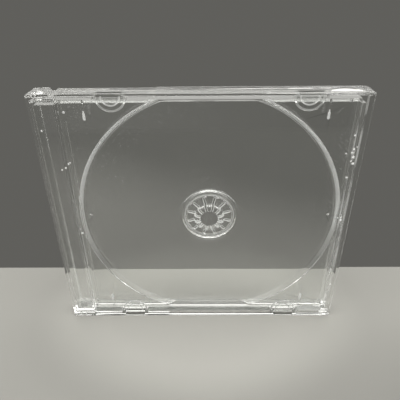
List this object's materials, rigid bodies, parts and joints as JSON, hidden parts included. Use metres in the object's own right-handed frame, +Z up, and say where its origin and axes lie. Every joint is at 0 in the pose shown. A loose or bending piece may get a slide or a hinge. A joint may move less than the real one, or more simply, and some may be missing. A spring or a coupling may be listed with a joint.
{
  "type": "cd case",
  "caption": "Clear hinged case for a single 120 mm disc, with a front cover, a back cover and a disc tray whose hub clips the disc.",
  "frame": {"origin": "middle of the long edge that the closed case stands on, at the height of that edge", "axes": "+X from the hinge to the free side, +Y from the front cover to the back cover, +Z up"},
  "size_m": [0.142, 0.0104, 0.125],
  "materials": {
    "front_cover": "clear, polished, lightly scuffed",
    "back_cover": "clear, polished, lightly scuffed",
    "disc_tray": "clear, polished"
  },
  "bodies": {
    "base": {"back_cover": "back_cover", "disc_tray": "disc_tray"},
    "lid": {"front_cover": "front_cover"}
  },
  "joints": [
    {"name": "lid_hinge", "type": "hinge", "parent": "base", "child": "lid", "pos_m": [-0.0664, 0, 0.0625], "axis": [0, 0, -1], "range_deg": [0, 180]}
  ]
}
